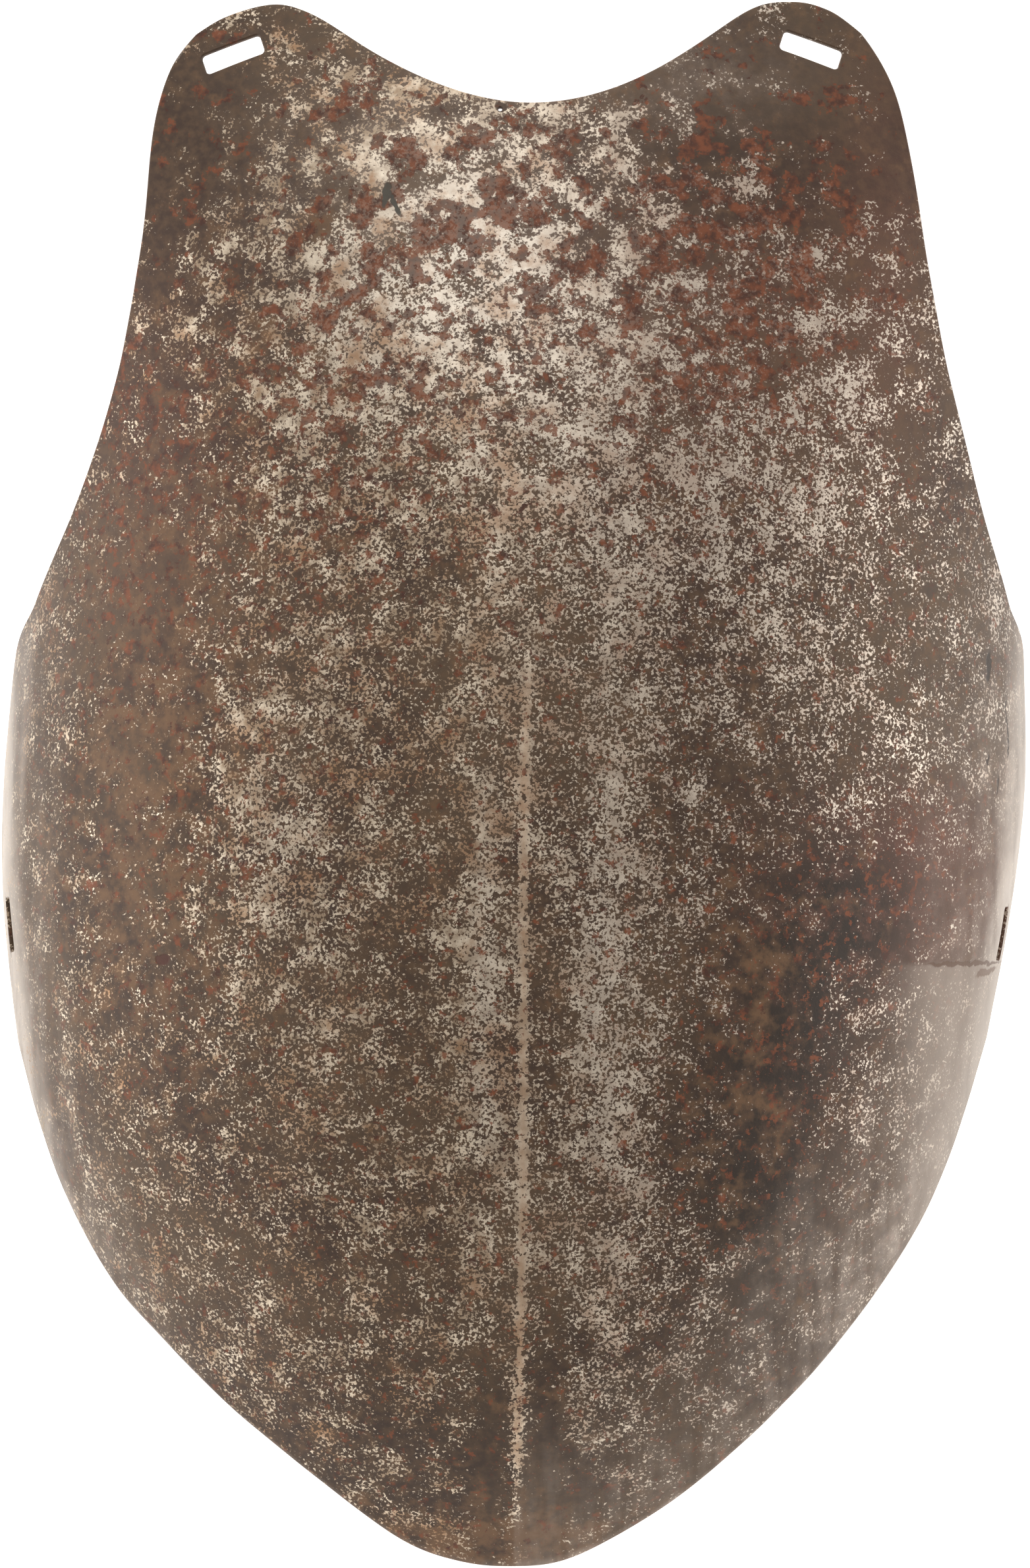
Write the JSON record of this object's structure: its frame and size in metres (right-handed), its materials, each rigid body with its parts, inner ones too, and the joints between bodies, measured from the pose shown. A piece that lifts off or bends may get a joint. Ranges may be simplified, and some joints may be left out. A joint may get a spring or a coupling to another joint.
{
  "type": "steel breastplate",
  "caption": "Rounded one-piece steel breastplate with a low keel, pointed lower edge and slots for shoulder and side straps.",
  "frame": {"origin": "middle of the bounding box in plan, on the surface that the two side edges rest on", "axes": "+X to the viewer's right from the front, +Y from the lower point to the neck, +Z out of the chest, so the plate lies face up"},
  "size_m": [0.328, 0.5, 0.1134],
  "materials": {
    "aged_steel": "hand-raised steel sheet, brown oxide patina with rust-red blotches and pale worn speckle, low sheen"
  },
  "bodies": {
    "root": {"breastplate": "aged_steel"}
  },
  "joints": []
}
